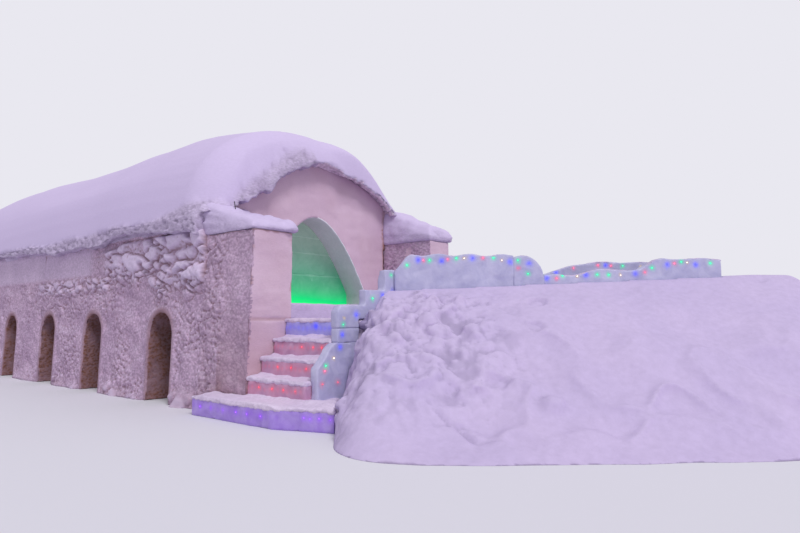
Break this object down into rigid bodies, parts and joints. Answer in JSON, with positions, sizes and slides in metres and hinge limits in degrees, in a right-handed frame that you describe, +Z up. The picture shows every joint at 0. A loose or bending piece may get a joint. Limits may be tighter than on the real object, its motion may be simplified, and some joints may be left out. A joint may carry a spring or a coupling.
{
  "type": "vaulted snow igloo hall with ice stair",
  "caption": "Long barrel-vaulted igloo hall of cast snow with round-headed side doorways, an arched ice-block screen, an ice-faced stair and an ice-railed walkway.",
  "frame": {"origin": "on the ground, under the middle of the front gable's thickness, midway between the outer faces of the side walls at their feet", "axes": "+Z up; +Y back along the hall; the front gable looks along -Y; the ice stair climbs along +X"},
  "size_m": [11.1906, 30.5878, 6.22],
  "materials": {
    "wall_snow": "rough blown snow",
    "smooth_snow": "trowelled snow",
    "roof_snow": "drifted snow",
    "packed_snow": "trodden snow",
    "bank_snow": "shovelled snow",
    "rail_ice": "cloudy ice with a frosted top",
    "screen_ice": "ice blocks lit from inside",
    "purple_ice": "ice lit purple",
    "red_ice": "ice lit red",
    "blue_ice": "ice lit blue",
    "dark_rod": "dark, dull"
  },
  "bodies": {
    "root": {"left_wall_front": "wall_snow", "left_wall_rear": "wall_snow", "right_wall_front": "wall_snow", "right_wall_rear": "wall_snow", "front_gable": "smooth_snow", "rear_gable": "wall_snow", "vault_front": "smooth_snow", "vault_rear": "smooth_snow", "roof_snow_front": "roof_snow", "roof_snow_rear": "roof_snow", "left_cheek_base": "smooth_snow", "left_cheek_top": "smooth_snow", "left_cheek_cap": "roof_snow", "right_cheek_base": "smooth_snow", "right_cheek_top": "smooth_snow", "right_cheek_cap": "roof_snow", "cap_rod": "dark_rod", "arch_sill": "packed_snow", "screen_course_1": "screen_ice", "screen_course_2": "screen_ice", "screen_course_3": "screen_ice", "screen_course_4": "screen_ice", "stair_core": "packed_snow", "step_1_ice": "purple_ice", "step_2_ice": "red_ice", "step_3_ice": "red_ice", "step_4_ice": "red_ice", "step_5_ice": "blue_ice", "step_treads": "packed_snow", "landing": "packed_snow", "balustrade_slab": "rail_ice", "balustrade_course": "rail_ice", "balustrade_blocks": "rail_ice", "landing_rail": "rail_ice", "rail_scroll": "rail_ice", "walkway_rail_front": "rail_ice", "walkway_rail_rear": "rail_ice", "walkway_floor": "packed_snow", "bank_front": "bank_snow", "bank_rear": "bank_snow", "bank_end": "bank_snow"}
  },
  "joints": []
}
